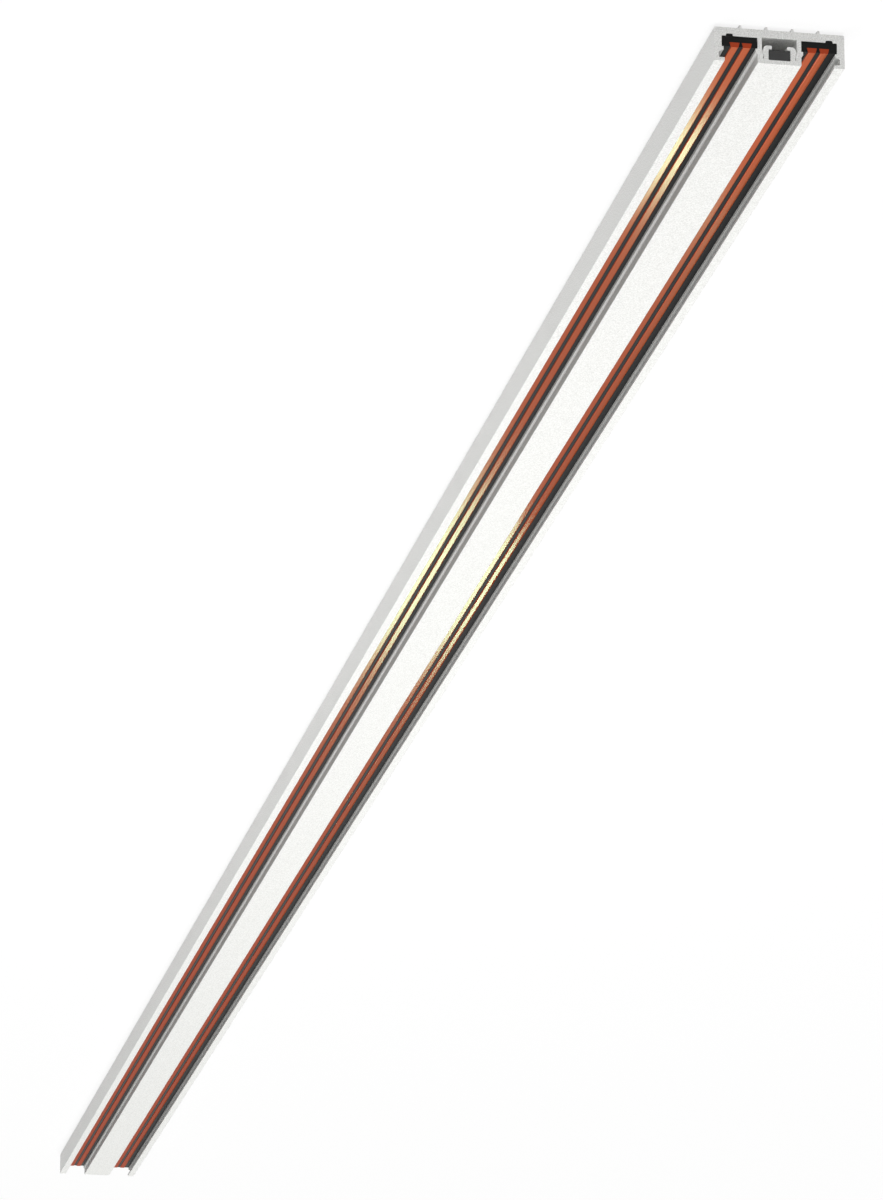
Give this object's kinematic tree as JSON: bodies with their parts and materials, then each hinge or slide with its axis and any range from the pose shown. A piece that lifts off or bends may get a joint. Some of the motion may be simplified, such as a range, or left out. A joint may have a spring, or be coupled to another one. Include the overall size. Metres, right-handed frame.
{
  "type": "magnetic lighting track",
  "caption": "Length of surface-mounted magnetic lighting track: a white aluminium channel with black insulators, copper conductors and a boxed-in steel bar.",
  "frame": {"origin": "middle of the length and width, on the plane of the rib crests that lie on the floor or against the ceiling", "axes": "+X along the track, +Y across it, +Z out of the open side towards the room"},
  "size_m": [2, 0.05, 0.0147],
  "materials": {
    "powder_coated_aluminium": "matte",
    "black_plastic": "satin",
    "copper": "satin",
    "dark_steel": "matte"
  },
  "bodies": {
    "root": {"track_profile": "powder_coated_aluminium", "insulator_left": "black_plastic", "insulator_right": "black_plastic", "conductor_left_outer": "copper", "conductor_left_inner": "copper", "conductor_right_inner": "copper", "conductor_right_outer": "copper", "steel_bar": "dark_steel"}
  },
  "joints": []
}
